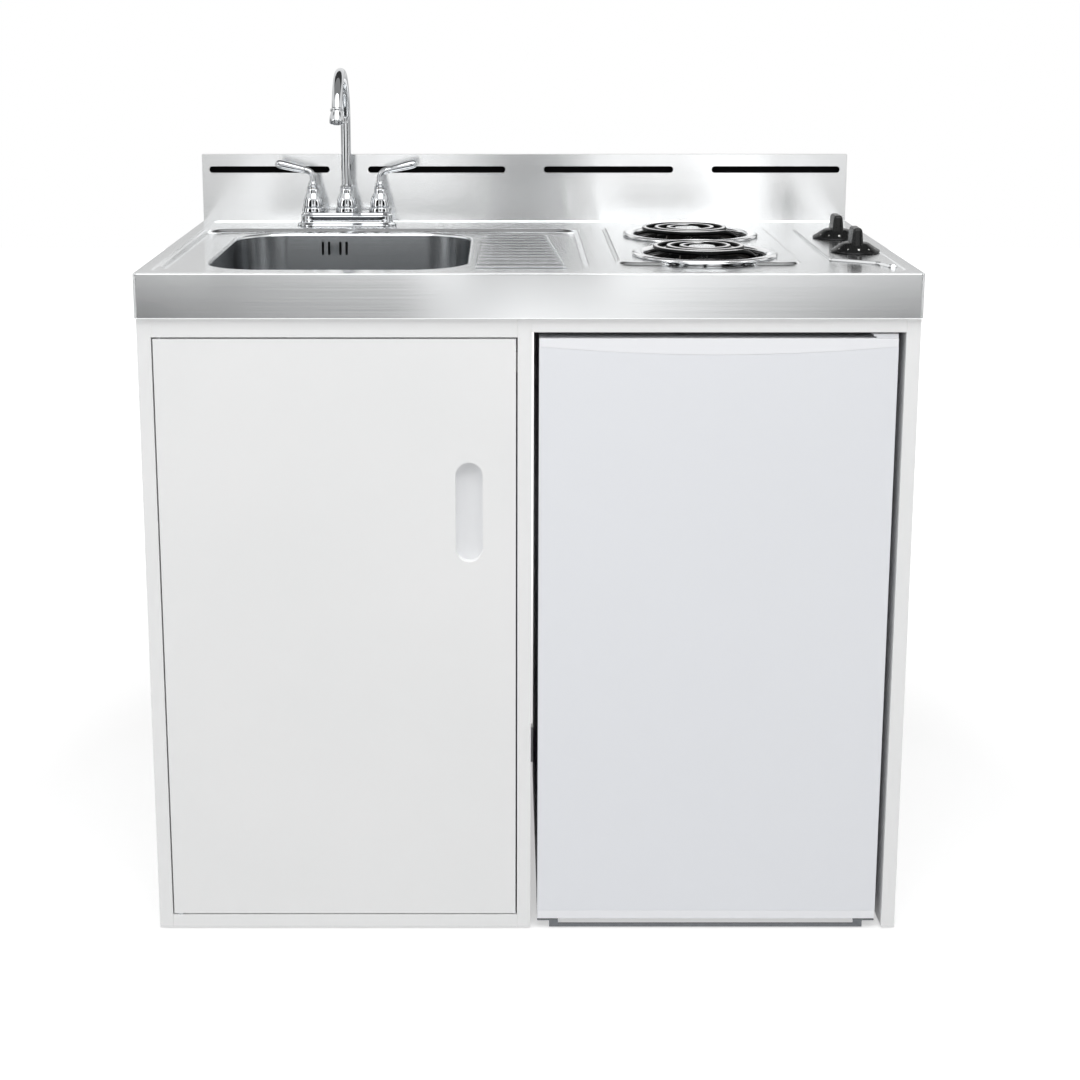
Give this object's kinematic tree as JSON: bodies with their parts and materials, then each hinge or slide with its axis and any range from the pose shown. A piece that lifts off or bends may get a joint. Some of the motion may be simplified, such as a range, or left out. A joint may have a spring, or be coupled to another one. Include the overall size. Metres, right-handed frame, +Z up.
{
  "type": "kitchenette unit",
  "caption": "Compact kitchen unit: white sink cabinet and under-counter refrigerator below a steel counter with sink, drainer, mixer tap, coil burners and knobs.",
  "frame": {"origin": "on the floor at the centre of the counter's outline", "axes": "+X to the user's right, +Y to the rear, +Z up; the doors face -Y"},
  "size_m": [0.9906, 0.6096, 1.125],
  "materials": {
    "board": "chipboard faced with off-white melamine, satin",
    "hardboard": "white-faced hardboard",
    "black_nylon": "moulded nylon",
    "pull_plastic": "moulded, satin",
    "zinc_steel": "zinc-plated steel",
    "catch_plastic": "moulded",
    "counter_steel": "brushed along X",
    "bowl_steel": "brushed, satin",
    "fitting_steel": "polished",
    "pipe_plastic": "moulded",
    "nut_zinc": "zinc-plated",
    "tap_chrome": "polished chrome plate",
    "brass": "turned brass",
    "ring_chrome": "polished chrome plate",
    "drip_enamel": "black vitreous enamel, glossy",
    "element_alloy": "oxidised heating tube",
    "support_steel": "pressed steel",
    "ceramic": "glazed ceramic",
    "switch_plastic": "moulded phenolic",
    "knob_plastic": "black moulded, satin",
    "fridge_paint": "white enamel paint, slightly pebbled",
    "trim_plastic": "white moulded",
    "foam": null,
    "liner_plastic": "white vacuum-formed",
    "seal_rubber": "light grey vinyl",
    "clear_plastic": "frosted",
    "shelf_coating": "white-coated wire",
    "freezer_aluminium": "satin",
    "compressor_paint": "black paint"
  },
  "bodies": {
    "unit": {"side_panels": "board", "centre_panel": "board", "cabinet_floor": "board", "back_panel": "hardboard", "front_rails": "board", "rear_rails": "board", "cabinet_glides": "black_nylon", "door_pivot_pins": "zinc_steel", "door_catch": "catch_plastic", "countertop": "counter_steel", "backsplash": "counter_steel", "backsplash_returns": "counter_steel", "sink_bowl": "bowl_steel", "overflow_fitting": "fitting_steel", "overflow_pipe": "pipe_plastic", "drain_body": "fitting_steel", "drain_locknut": "nut_zinc", "drain_tailpiece": "fitting_steel", "tap_base": "tap_chrome", "tap_bonnets": "tap_chrome", "tap_valves": "brass", "tap_locknuts": "nut_zinc", "burner_rings": "ring_chrome", "drip_bowls": "drip_enamel", "burner_box": "zinc_steel", "heat_switches": "switch_plastic", "cable_gland": "black_nylon", "fridge_shell": "fridge_paint", "fridge_foam": "foam", "fridge_liner": "liner_plastic", "fridge_hinges": "zinc_steel", "fridge_feet": "black_nylon", "fridge_shelves": "shelf_coating", "freezer_box": "freezer_aluminium", "thermostat_housing": "trim_plastic", "cooling_unit": "compressor_paint"},
    "cabinet_door": {"cabinet_door": "board", "door_pull_cup": "pull_plastic", "door_strike_plate": "zinc_steel"},
    "fridge_door": {"fridge_door_panel": "fridge_paint", "fridge_door_foam": "foam", "fridge_door_trims": "trim_plastic", "fridge_door_liner": "liner_plastic", "fridge_door_gasket": "seal_rubber", "fridge_door_bins": "clear_plastic"},
    "freezer_flap": {"freezer_flap": "clear_plastic"},
    "thermostat_knob": {"thermostat_knob": "trim_plastic"},
    "tap_spout": {"tap_spout": "tap_chrome", "tap_aerator": "tap_chrome"},
    "hot_lever": {"hot_lever": "tap_chrome"},
    "cold_lever": {"cold_lever": "tap_chrome"},
    "drain_basket": {"drain_basket": "fitting_steel"},
    "front_element": {"coil_front": "element_alloy", "coil_support_front": "support_steel", "socket_front": "ceramic"},
    "rear_element": {"coil_rear": "element_alloy", "coil_support_rear": "support_steel", "socket_rear": "ceramic"},
    "front_knob": {"knob_front": "knob_plastic"},
    "rear_knob": {"knob_rear": "knob_plastic"}
  },
  "joints": [
    {"name": "cabinet_door_hinge", "type": "hinge", "parent": "unit", "child": "cabinet_door", "pos_m": [-0.4658, -0.2938, 0.414], "axis": [0, 0, -1], "range_deg": [0, 110]},
    {"name": "fridge_door_hinge", "type": "hinge", "parent": "unit", "child": "fridge_door", "pos_m": [0.4545, -0.2868, 0.41], "axis": [0, 0, 1], "range_deg": [0, 105]},
    {"name": "freezer_flap_hinge", "type": "hinge", "parent": "unit", "child": "freezer_flap", "pos_m": [0.24, -0.1158, 0.677], "axis": [1, 0, 0], "range_deg": [0, 90]},
    {"name": "thermostat_turn", "type": "hinge", "parent": "unit", "child": "thermostat_knob", "pos_m": [0.3965, -0.0088, 0.608], "axis": [-1, 0, 0], "range_deg": [0, 300]},
    {"name": "spout_swivel", "type": "hinge", "parent": "unit", "child": "tap_spout", "pos_m": [-0.27, 0.2452, 0.9475], "axis": [0, 0, 1], "range_deg": [-90, 90]},
    {"name": "hot_lever_turn", "type": "hinge", "parent": "unit", "child": "hot_lever", "pos_m": [-0.3208, 0.2452, 0.9475], "axis": [0, 0, 1], "range_deg": [0, 90]},
    {"name": "cold_lever_turn", "type": "hinge", "parent": "unit", "child": "cold_lever", "pos_m": [-0.2192, 0.2452, 0.9475], "axis": [0, 0, -1], "range_deg": [0, 90]},
    {"name": "basket_lift", "type": "slide", "parent": "unit", "child": "drain_basket", "axis": [0, 0, 1], "range_m": [0, 0.06]},
    {"name": "front_element_tilt", "type": "hinge", "parent": "unit", "child": "front_element", "pos_m": [0.3355, -0.1398, 0.877], "axis": [0, 1, 0], "range_deg": [0, 15]},
    {"name": "rear_element_tilt", "type": "hinge", "parent": "unit", "child": "rear_element", "pos_m": [0.3355, 0.0742, 0.877], "axis": [0, 1, 0], "range_deg": [0, 15]},
    {"name": "front_knob_turn", "type": "hinge", "parent": "unit", "child": "front_knob", "pos_m": [0.441, -0.1078, 0.9], "axis": [0, 0, -1], "continuous": true},
    {"name": "rear_knob_turn", "type": "hinge", "parent": "unit", "child": "rear_knob", "pos_m": [0.441, 0.0492, 0.9], "axis": [0, 0, -1], "continuous": true}
  ]
}
